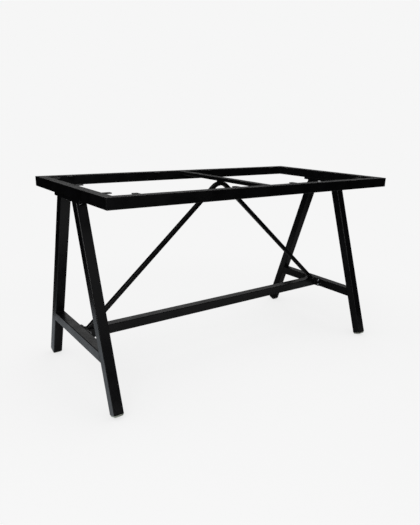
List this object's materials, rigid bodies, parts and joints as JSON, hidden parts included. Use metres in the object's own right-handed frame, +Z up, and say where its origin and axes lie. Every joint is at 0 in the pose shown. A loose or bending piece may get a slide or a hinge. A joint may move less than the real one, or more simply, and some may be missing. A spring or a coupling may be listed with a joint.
{
  "type": "bar table base",
  "caption": "Steel bar table base: rectangular tube top frame on two splayed A-shaped trestles, joined by a low stretcher and a bent V-shaped brace.",
  "frame": {"origin": "on the floor, under the middle of the top frame", "axes": "+X along the top frame, towards the right end; +Y across it, away from the viewer; +Z up"},
  "size_m": [1.78, 0.9, 1.013],
  "materials": {
    "coated_steel": "black fine-texture powder coat, satin",
    "zinc_plate": "bright zinc plate",
    "glide_nylon": "moulded, matt"
  },
  "bodies": {
    "root": {"front_rail": "coated_steel", "back_rail": "coated_steel", "left_end_rail": "coated_steel", "right_end_rail": "coated_steel", "centre_crossbar": "coated_steel", "front_tab_1": "coated_steel", "back_tab_1": "coated_steel", "front_tab_2": "coated_steel", "back_tab_2": "coated_steel", "front_tab_3": "coated_steel", "back_tab_3": "coated_steel", "front_tab_4": "coated_steel", "back_tab_4": "coated_steel", "left_tab_1": "coated_steel", "right_tab_1": "coated_steel", "left_tab_2": "coated_steel", "right_tab_2": "coated_steel", "left_tab_3": "coated_steel", "right_tab_3": "coated_steel", "left_front_leg": "coated_steel", "left_front_glide": "glide_nylon", "left_back_leg": "coated_steel", "left_back_glide": "glide_nylon", "left_cross_rail": "coated_steel", "left_top_plate": "coated_steel", "left_end_plate": "coated_steel", "right_front_leg": "coated_steel", "right_front_glide": "glide_nylon", "right_back_leg": "coated_steel", "right_back_glide": "glide_nylon", "right_cross_rail": "coated_steel", "right_top_plate": "coated_steel", "right_end_plate": "coated_steel", "stretcher": "coated_steel", "brace": "coated_steel", "brace_pad": "coated_steel", "hex_bolts": "zinc_plate", "washers": "zinc_plate", "rivet_nuts": "zinc_plate"}
  },
  "joints": []
}
